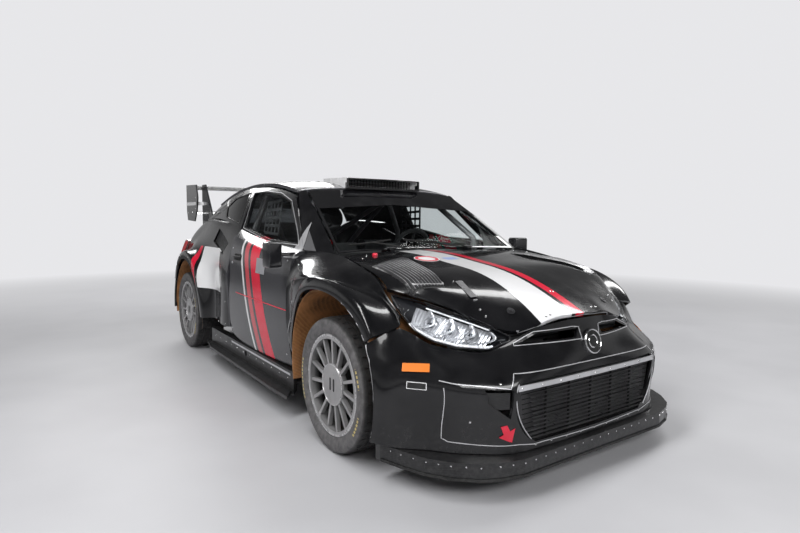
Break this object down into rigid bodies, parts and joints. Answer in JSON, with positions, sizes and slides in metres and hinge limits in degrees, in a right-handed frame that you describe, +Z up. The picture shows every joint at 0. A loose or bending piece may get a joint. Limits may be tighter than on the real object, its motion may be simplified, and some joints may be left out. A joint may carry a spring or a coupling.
{
  "type": "rally car",
  "caption": "Low two-door competition hatchback on road wheels with wide arches, front splitter, roof scoop, roll cage and a tall rear wing.",
  "frame": {"origin": "on the ground under the middle of the car's length and width", "axes": "+Z up, -Y towards the nose, +X towards the car's left side"},
  "size_m": [2.016, 4.225, 1.4299],
  "materials": {
    "painted_body": "gloss black",
    "carbon": "satin composite",
    "glass": "tinted clear",
    "quarter_glass": "dark",
    "lamp": "clear lens",
    "red_lamp": "clear red",
    "mesh": "black mesh",
    "wheel": "satin grey",
    "tyre": "matt",
    "steel": "machined",
    "cage": "satin",
    "engine": "cast",
    "trim": "textured",
    "seat": "woven",
    "liner": "woven composite",
    "scoop": "gloss white",
    "roof": "gloss dark metallic",
    "grip": "suede"
  },
  "bodies": {
    "body": {"dashboard": "trim", "engine_block": "engine", "exhaust": "steel", "floor_pan": "trim", "front_bumper": "painted_body", "front_splitter": "carbon", "front_suspension": "steel", "front_wings": "painted_body", "headlights": "lamp", "intake_meshes": "mesh", "quarter_windows": "quarter_glass", "radiator_grille": "mesh", "rear_bumper": "painted_body", "rear_diffuser": "carbon", "rear_suspension": "steel", "rear_wings": "painted_body", "roll_cage": "cage", "roof": "roof", "roof_scoop": "scoop", "seats": "seat", "side_skirts": "carbon", "tail_lights": "red_lamp", "wheel_arch_liners": "liner", "windscreen": "glass", "windscreen_frame": "painted_body"},
    "bonnet": {"bonnet": "painted_body", "bonnet_vents": "mesh"},
    "tailgate": {"tailgate": "painted_body", "rear_window": "glass", "rear_wing": "carbon"},
    "left_door": {"left_door": "painted_body", "left_door_window": "glass", "left_mirror": "carbon"},
    "right_door": {"right_door": "painted_body", "right_door_window": "glass", "right_mirror": "carbon"},
    "front_left_hub": {"front_left_hub_carrier": "steel"},
    "front_right_hub": {"front_right_hub_carrier": "steel"},
    "front_left_wheel": {"front_left_wheel": "wheel", "front_left_tyre": "tyre"},
    "front_right_wheel": {"front_right_wheel": "wheel", "front_right_tyre": "tyre"},
    "rear_left_wheel": {"rear_left_wheel": "wheel", "rear_left_tyre": "tyre"},
    "rear_right_wheel": {"rear_right_wheel": "wheel", "rear_right_tyre": "tyre"},
    "steering_wheel": {"steering_wheel": "grip"}
  },
  "joints": [
    {"name": "front_left_spin", "type": "hinge", "parent": "front_left_hub", "child": "front_left_wheel", "pos_m": [0.798, -1.2705, 0.3225], "axis": [1, 0, 0], "continuous": true},
    {"name": "front_right_spin", "type": "hinge", "parent": "front_right_hub", "child": "front_right_wheel", "pos_m": [-0.798, -1.2705, 0.3225], "axis": [1, 0, 0], "continuous": true},
    {"name": "rear_left_spin", "type": "hinge", "parent": "body", "child": "rear_left_wheel", "pos_m": [0.798, 1.3595, 0.3225], "axis": [1, 0, 0], "continuous": true},
    {"name": "rear_right_spin", "type": "hinge", "parent": "body", "child": "rear_right_wheel", "pos_m": [-0.798, 1.3595, 0.3225], "axis": [1, 0, 0], "continuous": true},
    {"name": "steering_left", "type": "hinge", "parent": "body", "child": "front_left_hub", "pos_m": [0.7205, -1.2705, 0.1725], "axis": [-0.239, 0, 0.971], "range_deg": [-28, 28]},
    {"name": "steering_right", "type": "hinge", "parent": "body", "child": "front_right_hub", "pos_m": [-0.7205, -1.2705, 0.1725], "axis": [0.239, 0, 0.971], "range_deg": [-28, 28]},
    {"name": "steering_wheel_turn", "type": "hinge", "parent": "body", "child": "steering_wheel", "pos_m": [0.34, -0.1905, 0.873], "axis": [0, 0.9491, 0.3149], "range_deg": [-340, 340]},
    {"name": "bonnet_lift", "type": "hinge", "parent": "body", "child": "bonnet", "pos_m": [0, -0.8755, 0.938], "axis": [-1, 0, 0], "range_deg": [0, 60]},
    {"name": "tailgate_lift", "type": "hinge", "parent": "body", "child": "tailgate", "pos_m": [0, 1.3715, 1.292], "axis": [1, 0, 0], "range_deg": [0, 60]},
    {"name": "left_door_swing", "type": "hinge", "parent": "body", "child": "left_door", "pos_m": [0.846, -0.7405, 0.6], "axis": [0, 0, -1], "range_deg": [0, 60]},
    {"name": "right_door_swing", "type": "hinge", "parent": "body", "child": "right_door", "pos_m": [-0.846, -0.7405, 0.6], "axis": [0, 0, 1], "range_deg": [0, 60]}
  ],
  "couplings": [
    {"joint": "steering_left", "follows": "steering_right", "ratio": 1},
    {"joint": "steering_wheel_turn", "follows": "steering_right", "ratio": 12}
  ]
}
